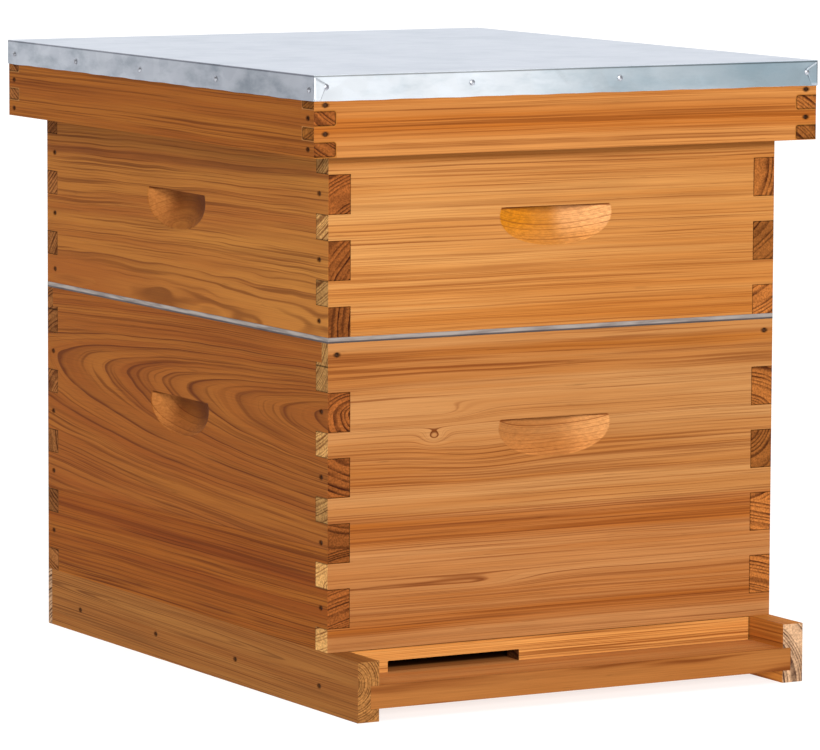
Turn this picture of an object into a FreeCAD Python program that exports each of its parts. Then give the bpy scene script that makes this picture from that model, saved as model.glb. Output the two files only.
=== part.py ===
import FreeCAD, Part
import math
import os

# A ten-frame beehive in millimetres: a bottom board, a deep brood box, a queen excluder, a shallow
# honey super, an inner cover and a telescoping cover with a galvanised sheet. The front faces -Y.
# Y values are written from the centre of the boxes and moved to the row's origin on export.

# Boxes
box_width = 413.0
box_length = 505.0
board_thickness = 20.0
brood_height = 244.5
super_height = 168.3

# Finger joints: the front boards' top fingers, then side and front fingers in turn
brood_top_finger = 38.8
super_top_finger = 40.6
side_finger = 31.6
front_finger = 20.2

# The step in the end boards that carries the frames
rest_width = 9.5
rest_depth = 15.9

# Handholds: half-moon cuts, deepest under a flat ceiling
grip_width = 102.0
grip_height = 32.0
grip_depth = 12.0
brood_grip_drop = 68.8
super_grip_drop = 72.2
brood_side_grip_shift = 3.0
super_side_grip_shift = 9.0

# Bottom board
rail_height = 48.0
rail_thickness = 19.0
landing_length = 50.0
floor_underside = 10.0
floor_thickness = 18.5
dado_depth = 7.5
rear_lap = 7.0
floor_boards = 4
tongue_length = 6.0

# Entrance reducer
reducer_depth = 19.0
reducer_gap = 0.5
reducer_end_gap = 1.0
slot_height = 9.0
slot_left = -151.9
slot_width = 120.0

# Queen excluder
excluder_thickness = 4.5
excluder_rim_width = 12.0
excluder_wall = 0.8
wire_diameter = 2.4
wire_pitch = 6.7
strap_thickness = 1.0
strap_width = 8.0
strap_weld = 0.2
strap_count = 4

# Inner cover
inner_thickness = 19.0
inner_strip_width = 40.0
panel_thickness = 6.0
panel_groove = 8.0
panel_hole_length = 100.0
panel_hole_width = 36.0
notch_width = 44.0

# Telescoping cover
cover_width = 463.0
cover_length = 550.0
cover_rim_height = 44.8
cover_top_finger = 7.6
cover_side_finger = 13.0
cover_front_finger = 11.2
cover_finger_radius = 3.0
deck_thickness = 19.0
deck_boards = 3
sheet_thickness = 0.6
flange_height = 20.6
sheet_bend_radius = 0.5

# Round-headed screws in the flange, as seen from the front and along each side
screw_head_radius = 2.4
screw_head_height = 1.0
screw_shank_radius = 1.1
screw_length = 25.0
end_screw_drop = 9.4
side_screw_drop = 11.8
flange_screws_x = (-221.0, -91.0, 44.5, 222.0)
flange_screws_y = (-267.0, -111.0, 24.0, 144.0, 263.0)

# Nails, set a little below the surface
nail_head_radius = 1.6
nail_head_thickness = 0.8
nail_shank_radius = 1.0
nail_length = 48.0
nail_recess_radius = 1.9
nail_recess_depth = 1.6
brood_nail_inset = 11.0
super_nail_inset = 15.0
end_nail_inset = 8.0
end_nail_drop = 9.2
cover_nail_inset = 10.0
rail_nails_y = (-239.0, -96.0, 47.0, 190.0)
rail_nail_height = 20.0
rear_nails_x = (-199.5, -100.0, 0.0, 100.0, 199.5)
deck_nails_x = (-222.0, 222.0)
deck_nail_shares = (0.32, 0.68)
deck_nail_length = 40.0
inner_nail_shares = (0.3, 0.7)

# Frames
frames_per_box = 10
frame_pitch = 36.0
top_bar_length = 482.6
top_bar_width = 27.0
top_bar_depth = 19.0
lug_thickness = 9.5
top_bar_neck = 22.0
end_bar_span = 448.0
end_bar_thickness = 9.5
end_bar_width = 35.0
end_bar_waist = 28.6
shoulder_height = 80.0
bottom_bar_width = 19.0
bottom_bar_depth = 9.5
brood_frame_height = 232.0
super_frame_height = 159.0
foundation_length = 425.0
foundation_thickness = 2.5
foundation_groove = 3.0

# Levels of the stack
floor_top = floor_underside + floor_thickness
brood_bottom = rail_height
brood_top = brood_bottom + brood_height
super_bottom = brood_top + excluder_thickness
super_top = super_bottom + super_height
inner_top = super_top + inner_thickness
cover_rim_bottom = inner_top - cover_rim_height
deck_top = inner_top + deck_thickness
sheet_top = deck_top + sheet_thickness

# Half sizes and the origin, under the middle of the whole hive
half_width = box_width / 2
half_length = box_length / 2
cover_half_width = cover_width / 2
cover_half_length = cover_length / 2
sheet_half_width = cover_half_width + sheet_thickness
sheet_half_length = cover_half_length + sheet_thickness
reach_front = half_length + landing_length
reach_rear = sheet_half_length + screw_head_height
origin_shift = (reach_front - reach_rear) / 2

LEFT, RIGHT, FRONT, REAR = -1, 1, -1, 1
ALONG_X = FreeCAD.Vector(1, 0, 0)
ALONG_Y = FreeCAD.Vector(0, 1, 0)
ALONG_Z = FreeCAD.Vector(0, 0, 1)
CENTRE = FreeCAD.Vector(0, 0, 0)


def block(x_range, y_range, z_range):
    low = [min(pair) for pair in (x_range, y_range, z_range)]
    size = [abs(pair[1] - pair[0]) for pair in (x_range, y_range, z_range)]
    return Part.makeBox(size[0], size[1], size[2], FreeCAD.Vector(*low))


def rod(radius, start, direction, length):
    return Part.makeCylinder(radius, length, start, direction)


def mirrored(shape, normal):
    return shape.mirror(CENTRE, normal)


def joined(shapes):
    return shapes[0].multiFuse(shapes[1:]).removeSplitter()


def cut_away(shape, tools):
    return shape.cut(Part.makeCompound(tools)) if tools else shape


def export(node, shapes):
    """Write one node; a list becomes a group of separate solids."""
    solids = shapes if isinstance(shapes, list) else [shapes]
    bodies = [solid for shape in solids for solid in shape.Solids]
    whole = bodies[0].copy() if len(bodies) == 1 else Part.makeCompound(bodies)
    whole.translate(FreeCAD.Vector(0, origin_shift, 0))
    whole.exportStep("parts/" + node + ".step")


# Fasteners


def nail(surface_point, inward):
    """A nail driven in below the surface: its head's top lies at the bottom of the recess."""
    head_top = surface_point + inward * (nail_recess_depth - nail_head_thickness)
    shank = rod(nail_shank_radius, head_top, inward, nail_length)
    head = rod(nail_head_radius, head_top, inward, nail_head_thickness)
    return joined([head, shank])


def nail_recess(surface_point, inward):
    return rod(nail_recess_radius, surface_point, inward, nail_recess_depth)


def box_nails(width, length, levels, inset, end_points):
    """Surface points and directions of a box's nails.

    levels are the heights on the side faces; end_points are (inset, height) on the end faces."""
    places = []
    for side in (LEFT, RIGHT):
        for end in (FRONT, REAR):
            for level in levels:
                point = FreeCAD.Vector(side * width, end * (length - inset), level)
                places.append((point, ALONG_X * -side))
            for end_inset, height in end_points:
                point = FreeCAD.Vector(side * (width - end_inset), end * length, height)
                places.append((point, ALONG_Y * -end))
    return places


def recessed(board, places):
    """The board with the nail recesses that open on its own outer face."""
    near = [nail_recess(point, inward) for point, inward in places]
    return cut_away(board, [hole for hole in near if hole.common(board).Volume > 0])


# Finger-jointed boxes


def finger_levels(bottom, top, top_finger, side_height, front_height):
    """Heights of the side boards' fingers, from the top down."""
    levels = []
    upper = top - top_finger
    while upper > bottom:
        lower = max(upper - side_height, bottom)
        levels.append((lower, upper))
        upper = lower - front_height
    return levels


def corner_fingers(width, length, levels, radius=0.0):
    """The side board's fingers at the front left corner, as long as the front board is thick.

    With a radius, their inner edges are rounded, apart from the one at the board's foot."""
    inner = -width + board_thickness
    fingers = []
    for lower, upper in levels:
        finger = block((-width, inner), (-length, -length + board_thickness), (lower, upper))
        if radius:
            inner_edges = [
                edge
                for edge in finger.Edges
                if edge.BoundBox.YLength > board_thickness / 2
                and edge.BoundBox.XMin > inner - radius
                and edge.BoundBox.ZMin > levels[-1][0]
            ]
            finger = finger.makeFillet(radius, inner_edges)
        fingers.append(finger)
    return fingers


def grip_cut(face_distance, top, across, shift):
    """A half-moon handhold in the face at -face_distance.

    The floor is a vertical arc turned about an upright axis in front of the board. across is X
    for an end board and Y for a side board; shift moves the cut along it."""
    reach = ((grip_width / 2) ** 2 - grip_depth**2) / (2 * grip_depth)
    half_way = math.sqrt(0.5)
    deep = FreeCAD.Vector(reach + grip_depth, 0, 0)
    middle = FreeCAD.Vector(reach + grip_depth * half_way, 0, -grip_height * half_way)
    mouth = FreeCAD.Vector(reach, 0, -grip_height)
    foot = FreeCAD.Vector(0, 0, -grip_height)
    outline = Part.Wire(
        [
            Part.makeLine(CENTRE, deep),
            Part.Arc(deep, middle, mouth).toShape(),
            Part.makeLine(mouth, foot),
            Part.makeLine(foot, CENTRE),
        ]
    )
    bowl = Part.Face(outline).revolve(CENTRE, ALONG_Z, 360)
    outside = -face_distance - reach
    place = (shift, outside, top) if across == ALONG_X else (outside, shift, top)
    bowl.translate(FreeCAD.Vector(*place))
    return bowl


def end_board(width, length, bottom, top, levels, radius=0.0):
    """The front board of a jointed box, with slots for the side boards' fingers."""
    plank = block((-width, width), (-length, -length + board_thickness), (bottom, top))
    left = corner_fingers(width, length, levels, radius)
    return cut_away(plank, left + [mirrored(finger, ALONG_X) for finger in left])


def side_board(width, length, bottom, top, levels, radius=0.0):
    """The left board of a jointed box, with fingers at both ends."""
    shoulder = length - board_thickness
    plank = block((-width, -width + board_thickness), (-shoulder, shoulder), (bottom, top))
    front = corner_fingers(width, length, levels, radius)
    return joined([plank] + front + [mirrored(finger, ALONG_Y) for finger in front])


def hive_box(prefix, nails_node, bottom, height, top_finger, grip_drop, side_shift, inset):
    """Four boards and their nails: finger joints, frame rests and a handhold on each side."""
    top = bottom + height
    levels = finger_levels(bottom, top, top_finger, side_finger, front_finger)
    rest_step = half_length - board_thickness + rest_width
    rest_levels = (top - rest_depth, top)
    shoulder = half_length - board_thickness

    front = end_board(half_width, half_length, bottom, top, levels)
    rest = block((-half_width, half_width), (-rest_step, -shoulder), rest_levels)
    front = front.cut(rest).cut(grip_cut(half_length, top - grip_drop, ALONG_X, 0.0))

    left = side_board(half_width, half_length, bottom, top, levels)
    inner_face = -half_width + board_thickness
    rest_ends = block((-half_width, inner_face), (-rest_step, rest_step), rest_levels)
    left = joined([left, rest_ends]).cut(grip_cut(half_width, top - grip_drop, ALONG_Y, side_shift))

    middles = [(lower + upper) / 2 for lower, upper in levels]
    end_points = [(end_nail_inset, top - end_nail_drop)]
    places = box_nails(half_width, half_length, middles, inset, end_points)
    boards = {
        "front": front,
        "rear": mirrored(front, ALONG_Y),
        "left": left,
        "right": mirrored(left, ALONG_X),
    }
    for side, board in boards.items():
        export(prefix + "_" + side + "_board", recessed(board, places))
    export(nails_node, [nail(point, inward) for point, inward in places])


# Bottom board


def tongue_and_groove(x_range, y_start, y_end, count, z_range):
    """Boards laid side by side along Y, each with a tongue in the groove of the next."""
    pitch = (y_end - y_start) / count
    third = (z_range[1] - z_range[0]) / 3
    tongue_levels = (z_range[0] + third, z_range[1] - third)
    boards = []
    for index in range(count):
        front_edge = y_start + index * pitch
        rear_edge = front_edge + pitch
        board = block(x_range, (front_edge, rear_edge), z_range)
        if index > 0:
            board = board.cut(block(x_range, (front_edge, front_edge + tongue_length), tongue_levels))
        if index < count - 1:
            tongue = block(x_range, (rear_edge, rear_edge + tongue_length), tongue_levels)
            board = joined([board, tongue])
        boards.append(board)
    return boards


def bottom_board():
    inner = half_width - rail_thickness
    floor_half = inner + dado_depth
    lap_face = half_length - rear_lap
    rear_inner = half_length - rail_thickness
    floor_rear = rear_inner + dado_depth
    floor_levels = (floor_underside, floor_top)

    places = []
    for side in (LEFT, RIGHT):
        for nail_y in rail_nails_y:
            point = FreeCAD.Vector(side * half_width, nail_y, rail_nail_height)
            places.append((point, ALONG_X * -side))
    for nail_x in rear_nails_x:
        point = FreeCAD.Vector(nail_x, half_length, rail_nail_height)
        places.append((point, ALONG_Y * -1))

    side = block((-half_width, -inner), (-reach_front, lap_face), (0, rail_height))
    side = side.cut(block((-floor_half, -inner), (-reach_front, floor_rear), floor_levels))
    lap = block((-half_width, half_width), (lap_face, half_length), (0, rail_height))
    web = block((-inner, inner), (rear_inner, lap_face), (0, rail_height))
    rear = joined([lap, web])
    rear = rear.cut(block((-inner, inner), (rear_inner, floor_rear), floor_levels))

    export("bottom_rail_left", recessed(side, places))
    export("bottom_rail_right", recessed(mirrored(side, ALONG_X), places))
    export("bottom_rail_rear", recessed(rear, places))
    x_range = (-floor_half, floor_half)
    planks = tongue_and_groove(x_range, -reach_front, floor_rear, floor_boards, floor_levels)
    for number, plank in enumerate(planks, start=1):
        export("floor_board_%d" % number, plank)
    export("bottom_board_nails", [nail(point, inward) for point, inward in places])


def entrance_reducer():
    """A strip between the rails, with a low slot for the bees near its left end."""
    reducer_half = half_width - rail_thickness - reducer_end_gap
    y_range = (-half_length, -half_length + reducer_depth)
    strip = block((-reducer_half, reducer_half), y_range, (floor_top, brood_bottom - reducer_gap))
    slot_x = (slot_left, slot_left + slot_width)
    slot = block(slot_x, y_range, (floor_top, floor_top + slot_height))
    export("entrance_reducer", strip.cut(slot))


# Queen excluder


def mitred_channel(half_run, half_across, middle):
    """A folded edge strip along X at the front: a mitred bar with a slot for the wire ends."""
    inner_run = half_run - excluder_rim_width
    inner_across = half_across - excluder_rim_width
    corners = [
        (-half_run, -half_across),
        (half_run, -half_across),
        (inner_run, -inner_across),
        (-inner_run, -inner_across),
    ]
    points = [FreeCAD.Vector(x, y, middle - excluder_thickness / 2) for x, y in corners]
    outline = Part.Face(Part.makePolygon(points + points[:1]))
    bar = outline.extrude(ALONG_Z * excluder_thickness)
    slot_y = (-half_across + excluder_wall, -inner_across)
    slot_z = (middle - wire_diameter / 2, middle + wire_diameter / 2)
    return bar.cut(block((-half_run, half_run), slot_y, slot_z))


def queen_excluder():
    middle = brood_top + excluder_thickness / 2
    front = mitred_channel(half_width, half_length, middle)
    side = mitred_channel(half_length, half_width, middle)
    side.rotate(FreeCAD.Vector(0, 0, 0), ALONG_Z, -90)
    strips = [front, mirrored(front, ALONG_Y), side, mirrored(side, ALONG_X)]
    export("excluder_rim", strips)

    clear_half = half_width - excluder_rim_width
    wire_half = half_length - excluder_wall
    wire_count = int((2 * clear_half - wire_diameter) / wire_pitch)
    first = -(wire_count - 1) * wire_pitch / 2
    grille = []
    for index in range(wire_count):
        start = FreeCAD.Vector(first + index * wire_pitch, -wire_half, middle)
        grille.append(rod(wire_diameter / 2, start, ALONG_Y, 2 * wire_half))
    strap_top = middle - wire_diameter / 2 + strap_weld
    strap_gap = 2 * (half_length - excluder_rim_width) / (strap_count + 1)
    for index in range(strap_count):
        strap_y = (index - (strap_count - 1) / 2) * strap_gap
        y_range = (strap_y - strap_width / 2, strap_y + strap_width / 2)
        z_range = (strap_top - strap_thickness, strap_top)
        grille.append(block((first, -first), y_range, z_range))
    export("excluder_grille", joined(grille))


# Inner cover


def inner_cover():
    z_range = (super_top, inner_top)
    strip_y = half_length - inner_strip_width
    strip_x = half_width - inner_strip_width
    panel_x = strip_x + panel_groove
    panel_y = strip_y + panel_groove
    panel_low = super_top + (inner_thickness - panel_thickness) / 2
    panel = block((-panel_x, panel_x), (-panel_y, panel_y), (panel_low, panel_low + panel_thickness))

    front = block((-half_width, half_width), (-half_length, -strip_y), z_range).cut(panel)
    left = block((-half_width, -strip_x), (-strip_y, strip_y), z_range).cut(panel)
    export("inner_cover_rim_rear", mirrored(front, ALONG_Y))
    export("inner_cover_rim_left", left)
    export("inner_cover_rim_right", mirrored(left, ALONG_X))
    notch_x = (-notch_width / 2, notch_width / 2)
    notch = block(notch_x, (-half_length, -strip_y), (super_top, panel_low))
    export("inner_cover_rim_front", front.cut(notch))

    end_radius = panel_hole_width / 2
    straight = panel_hole_length / 2 - end_radius
    base = FreeCAD.Vector(0, 0, panel_low)
    hole = [block((-end_radius, end_radius), (-straight, straight), (panel_low, inner_top))]
    for end in (FRONT, REAR):
        hole.append(rod(end_radius, base + ALONG_Y * straight * end, ALONG_Z, panel_thickness))
    export("inner_cover_panel", cut_away(panel, hole))

    nails = []
    for side in (LEFT, RIGHT):
        for share in inner_nail_shares:
            nail_x = side * (half_width - inner_strip_width * share)
            start = FreeCAD.Vector(nail_x, -half_length, super_top + inner_thickness * share)
            spike = rod(nail_shank_radius, start, ALONG_Y, nail_length + inner_strip_width / 2)
            nails += [spike, mirrored(spike, ALONG_Y)]
    export("inner_cover_nails", nails)


# Telescoping cover


def cover_rim():
    levels = finger_levels(
        cover_rim_bottom, inner_top, cover_top_finger, cover_side_finger, cover_front_finger
    )
    size = (cover_half_width, cover_half_length, cover_rim_bottom, inner_top, levels)
    front = end_board(*size, radius=cover_finger_radius)
    left = side_board(*size, radius=cover_finger_radius)

    side_middles = [(lower + upper) / 2 for lower, upper in levels]
    top_finger_middle = inner_top - cover_top_finger / 2
    lower_finger_middle = (levels[0][0] + levels[1][1]) / 2
    end_points = [(cover_nail_inset, top_finger_middle), (cover_nail_inset, lower_finger_middle)]
    places = box_nails(
        cover_half_width, cover_half_length, side_middles, cover_nail_inset, end_points
    )
    export("cover_rim_front", recessed(front, places))
    export("cover_rim_rear", recessed(mirrored(front, ALONG_Y), places))
    export("cover_rim_left", recessed(left, places))
    export("cover_rim_right", recessed(mirrored(left, ALONG_X), places))
    export("cover_rim_nails", [nail(point, inward) for point, inward in places])


def cover_deck():
    x_range = (-cover_half_width, cover_half_width)
    levels = (inner_top, deck_top)
    ends = (-cover_half_length, cover_half_length)
    planks = tongue_and_groove(x_range, ends[0], ends[1], deck_boards, levels)
    for number, plank in enumerate(planks, start=1):
        export("cover_deck_board_%d" % number, plank)
    pitch = cover_length / deck_boards
    nails = []
    for index in range(deck_boards):
        for share in deck_nail_shares:
            for nail_x in deck_nails_x:
                nail_y = ends[0] + (index + share) * pitch
                top = FreeCAD.Vector(nail_x, nail_y, deck_top)
                nails.append(rod(nail_shank_radius, top, ALONG_Z * -1, deck_nail_length))
    export("cover_deck_nails", nails)


def cover_sheet():
    """A tray of thin sheet laid over the deck, with its flange folded down all round."""
    low = sheet_top - flange_height
    x_range = (-sheet_half_width, sheet_half_width)
    y_range = (-sheet_half_length, sheet_half_length)
    tray = block(x_range, y_range, (low, sheet_top))
    outer_edges = [
        edge
        for edge in tray.Edges
        if edge.BoundBox.ZMin > low + sheet_thickness or edge.BoundBox.ZLength > flange_height / 2
    ]
    tray = tray.makeFillet(sheet_bend_radius, outer_edges)
    inside_x = (-cover_half_width, cover_half_width)
    inside_y = (-cover_half_length, cover_half_length)
    export("cover_sheet", tray.cut(block(inside_x, inside_y, (low, deck_top))))


def flange_screw(surface_point, inward):
    """A low domed head on the flange, and a shank into the edge of the deck."""
    ball_radius = (screw_head_radius**2 + screw_head_height**2) / (2 * screw_head_height)
    ball_centre = surface_point + inward * (ball_radius - screw_head_height)
    rim_latitude = math.degrees(math.acos(screw_head_radius / ball_radius))
    head = Part.makeSphere(ball_radius, ball_centre, inward * -1, rim_latitude, 90, 360)
    return joined([head, rod(screw_shank_radius, surface_point, inward, screw_length)])


def cover_sheet_screws():
    screws = []
    for screw_x in flange_screws_x:
        for end in (FRONT, REAR):
            point = FreeCAD.Vector(screw_x, end * sheet_half_length, sheet_top - end_screw_drop)
            screws.append(flange_screw(point, ALONG_Y * -end))
    for screw_y in flange_screws_y:
        for side in (LEFT, RIGHT):
            point = FreeCAD.Vector(side * sheet_half_width, screw_y, sheet_top - side_screw_drop)
            screws.append(flange_screw(point, ALONG_X * -side))
    export("cover_sheet_screws", screws)


# Frames


def end_bar(bottom, top, neck_levels):
    """The front end bar: wide shoulders above, a narrower leg below, open for the bars."""
    outer = -end_bar_span / 2
    y_range = (outer, outer + end_bar_thickness)
    shoulder_low = top - shoulder_height
    shoulders = block((-end_bar_width / 2, end_bar_width / 2), y_range, (shoulder_low, top))
    leg = block((-end_bar_waist / 2, end_bar_waist / 2), y_range, (bottom, shoulder_low))
    neck = block((-top_bar_neck / 2, top_bar_neck / 2), y_range, neck_levels)
    foot_x = (-bottom_bar_width / 2, bottom_bar_width / 2)
    foot = block(foot_x, y_range, (bottom, bottom + bottom_bar_depth))
    return cut_away(joined([shoulders, leg]), [neck, foot])


def top_bar(underside, top):
    """A grooved bar with thin lugs that hang in the box's rests, necked at the end bars."""
    half_bar = top_bar_length / 2
    half_span = end_bar_span / 2
    x_range = (-top_bar_width / 2, top_bar_width / 2)
    bar = block(x_range, (-half_bar, half_bar), (underside, top))
    lug_low = top - lug_thickness
    neck_y = (half_span - end_bar_thickness, half_span)
    tools = []
    for end in (FRONT, REAR):
        tools.append(block(x_range, (end * half_span, end * half_bar), (underside, lug_low)))
        for side in (LEFT, RIGHT):
            neck_x = (side * top_bar_neck / 2, side * top_bar_width / 2)
            tools.append(block(neck_x, (end * neck_y[0], end * neck_y[1]), (underside, top)))
    return cut_away(bar, tools)


def frame_pieces(height, hanging_top):
    """One frame's five pieces about x = 0: top bar, end bars, bottom bar and foundation."""
    bottom = hanging_top - height
    underside = hanging_top - top_bar_depth
    front_end = end_bar(bottom, hanging_top, (underside, hanging_top))
    half_span = end_bar_span / 2
    foot_x = (-bottom_bar_width / 2, bottom_bar_width / 2)
    foot_bar = block(foot_x, (-half_span, half_span), (bottom, bottom + bottom_bar_depth))
    wax_x = (-foundation_thickness / 2, foundation_thickness / 2)
    wax_z = (bottom + bottom_bar_depth - foundation_groove, underside + foundation_groove)
    foundation = block(wax_x, (-foundation_length / 2, foundation_length / 2), wax_z)
    upper_bar = top_bar(underside, hanging_top).cut(foundation)
    return [upper_bar, front_end, mirrored(front_end, ALONG_Y), foot_bar.cut(foundation), foundation]


def frame_set(prefix, height, box_top):
    hanging_top = box_top - rest_depth + lug_thickness
    pieces = frame_pieces(height, hanging_top)
    for index in range(frames_per_box):
        offset = (index - (frames_per_box - 1) / 2) * frame_pitch
        moved = [piece.copy() for piece in pieces]
        for piece in moved:
            piece.translate(ALONG_X * offset)
        export("%s_%02d" % (prefix, index + 1), moved)


os.makedirs("parts", exist_ok=True)
bottom_board()
entrance_reducer()
hive_box(
    "brood",
    "brood_box_nails",
    brood_bottom,
    brood_height,
    brood_top_finger,
    brood_grip_drop,
    brood_side_grip_shift,
    brood_nail_inset,
)
queen_excluder()
hive_box(
    "super",
    "super_nails",
    super_bottom,
    super_height,
    super_top_finger,
    super_grip_drop,
    super_side_grip_shift,
    super_nail_inset,
)
inner_cover()
cover_rim()
cover_deck()
cover_sheet()
cover_sheet_screws()
frame_set("brood_frame", brood_frame_height, brood_top)
frame_set("super_frame", super_frame_height, super_top)
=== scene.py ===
import bmesh
import bpy
import math
from dataclasses import dataclass
from mathutils import Matrix, Vector


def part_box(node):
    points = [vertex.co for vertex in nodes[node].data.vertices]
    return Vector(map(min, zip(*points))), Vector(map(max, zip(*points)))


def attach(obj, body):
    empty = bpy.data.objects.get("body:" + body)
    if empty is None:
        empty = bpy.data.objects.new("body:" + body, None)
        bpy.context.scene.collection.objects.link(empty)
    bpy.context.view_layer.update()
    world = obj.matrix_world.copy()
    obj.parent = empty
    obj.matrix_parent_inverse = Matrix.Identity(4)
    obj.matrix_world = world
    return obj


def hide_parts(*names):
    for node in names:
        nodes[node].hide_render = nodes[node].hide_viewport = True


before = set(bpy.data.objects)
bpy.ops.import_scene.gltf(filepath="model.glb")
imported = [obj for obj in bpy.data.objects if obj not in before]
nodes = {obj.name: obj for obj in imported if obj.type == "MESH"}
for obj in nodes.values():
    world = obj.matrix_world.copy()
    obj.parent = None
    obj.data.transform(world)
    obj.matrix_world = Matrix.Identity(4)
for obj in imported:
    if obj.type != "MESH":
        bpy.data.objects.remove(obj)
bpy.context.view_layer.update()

# A ten-frame beehive. Sizes are in metres, and in millimetres inside the materials, whose
# positions are measured from each board's outer face: along the grain, up or across, and outwards.
MM = 0.001

X, Y, Z = Vector((1, 0, 0)), Vector((0, 1, 0)), Vector((0, 0, 1))
SIDES = ("front", "rear", "left", "right")
# Along, up and out of a board's face, on each side
FACE_AXES = {"front": (X, Z, -Y), "rear": (-X, Z, Y), "left": (-Y, Z, -X), "right": (Y, Z, X)}


# Objects


def new_object(name, data):
    item = bpy.data.objects.new(name, data)
    bpy.context.scene.collection.objects.link(item)
    return item


def modify(item, name, kind, **settings):
    modifier = item.modifiers.new(name, kind)
    for key, value in settings.items():
        setattr(modifier, key, value)


# Shader trees


class Tree:
    """Short ways to add shader nodes to one tree and join them."""

    def __init__(self, tree):
        self.tree = tree

    def add(self, kind, *values, **settings):
        node = self.tree.nodes.new(kind)
        for key, value in settings.items():
            setattr(node, key, value)
        for socket, value in zip(node.inputs, values):
            self.feed(socket, value)
        return node

    def feed(self, socket, value):
        if isinstance(value, bpy.types.NodeSocket):
            self.tree.links.new(value, socket)
        else:
            socket.default_value = value

    def fill(self, node, inputs):
        """Feed a node's inputs, by name or number."""
        for key, value in inputs.items():
            self.feed(node.inputs[key], value)
        return node

    def math(self, operation, *values):
        return self.add("ShaderNodeMath", *values, operation=operation).outputs[0]

    def plus(self, base, value, share=1.0):
        """The base, with the value or a share of it added."""
        return self.math("MULTIPLY_ADD", value, share, base)

    def minus(self, base, value):
        return self.math("SUBTRACT", base, value)

    def times(self, first, second):
        return self.math("MULTIPLY", first, second)

    def over(self, value, unit):
        return self.math("DIVIDE", value, unit)

    def positive(self, value):
        return self.math("ABSOLUTE", value)

    def vector(self, operation, *values):
        node = self.add("ShaderNodeVectorMath", *values, operation=operation)
        return node.outputs["Value" if operation in ("DOT_PRODUCT", "LENGTH") else "Vector"]

    def combine(self, x=0.0, y=0.0, z=0.0):
        return self.add("ShaderNodeCombineXYZ", x, y, z).outputs[0]

    def separate(self, vector):
        return self.add("ShaderNodeSeparateXYZ", vector).outputs[:3]

    def place(self):
        """Where a point is on the object, in millimetres."""
        position = self.add("ShaderNodeTexCoord").outputs["Object"]
        return self.vector("MULTIPLY", position, (1 / MM, 1 / MM, 1 / MM))

    def normal(self):
        return self.add("ShaderNodeTexCoord").outputs["Normal"]

    def remap(self, value, low, high, to_low=0.0, to_high=1.0):
        """An S-shaped step from one level to another, as the value goes from low to high."""
        return self.add("ShaderNodeMapRange", value, low, high, to_low, to_high,
                        interpolation_type="SMOOTHSTEP").outputs[0]

    def noise(self, position, size, detail=2.0, roughness=0.5, shift=0.0):
        """Noise whose blots are about this size along each axis."""
        fineness = [1 / length for length in size]
        sample = self.vector("MULTIPLY_ADD", position, fineness, (shift, shift, shift))
        return self.any_noise("3D", Vector=sample, Detail=detail, Roughness=roughness)

    def noise_line(self, value, detail=0.0):
        return self.any_noise("1D", W=value, Detail=detail)

    def any_noise(self, dimensions, **inputs):
        node = self.add("ShaderNodeTexNoise", noise_dimensions=dimensions)
        return self.fill(node, {"Scale": 1.0, **inputs}).outputs[0]

    def random(self, value):
        node = self.add("ShaderNodeTexWhiteNoise", noise_dimensions="1D")
        return self.fill(node, {"W": value}).outputs[0]

    def mix(self, amount, first, second, blend="MIX"):
        node = self.add("ShaderNodeMix", data_type="RGBA", blend_type=blend)
        return self.fill(node, {0: amount, 6: first, 7: second}).outputs[2]

    def mix_value(self, amount, first, second):
        node = self.add("ShaderNodeMix", data_type="FLOAT")
        return self.fill(node, {0: amount, 2: first, 3: second}).outputs[0]

    def grey(self, value):
        return self.add("ShaderNodeCombineColor", value, value, value).outputs[0]

    def shaded(self, base, brightness):
        """The colour, darker or brighter by this factor."""
        return self.mix(1.0, base, self.grey(brightness), blend="MULTIPLY")


def colour(red, green, blue):
    """A screen colour, 0 to 255, as the linear colour that shaders take."""
    linear = []
    for value in (red / 255, green / 255, blue / 255):
        linear.append(value / 12.92 if value <= 0.04045 else ((value + 0.055) / 1.055) ** 2.4)
    return (*linear, 1.0)


def new_material(name):
    """A new material, its tree and its shader."""
    material = bpy.data.materials.new(name)
    material.use_nodes = True
    return material, Tree(material.node_tree), material.node_tree.nodes["Principled BSDF"]


def set_surface(tree, shader, base, rough, relief, strength, depth, metal=0.0, specular=0.5):
    """Give a shader its colour, its roughness, a relief of this strength and depth, and its gloss."""
    bump = tree.add("ShaderNodeBump")
    tree.fill(bump, {"Strength": strength, "Distance": depth, "Height": relief})
    tree.fill(shader, {"Base Color": base, "Roughness": rough, "Normal": bump.outputs[0],
                       "Metallic": metal, "Specular IOR Level": specular})


# Wood

# How far the wood's features run along the grain, across it and into it, in millimetres
BROAD_WAVES = (240, 70, 70)
SMALL_WAVES = (70, 17, 17)
FAINT_RINGS = (95, 12, 12)
FIBRES = (75, 0.85, 0.85)
FLECKS = (34, 1.9, 1.9)
PORES = (6, 1.7, 1.7)
# How far they run along the grain, across the rings and across the board
TONES = (420, 9, 110)
STREAK_PATCHES = (260, 20, 90)
STREAKS = (340, 1.7, 90)
HAIRLINES = (220, 0.9, 60)
END_BLOTCHES = (30, 7, 11)
# A board's tint changes over its middle, this far each way
TINT_REACH = 240.0
# Turns one seed into places in the noise that are far apart
RING_SEED_STEP = 37.3
TONE_SEED_STEP = 23.1
OUTWARD_SHIFT = 31.7
# Parts of a year: the wood darkens slowly from summer, quickly in autumn, and stops
SUMMER, AUTUMN, WINTER = 0.20, 0.80, 0.955


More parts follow.
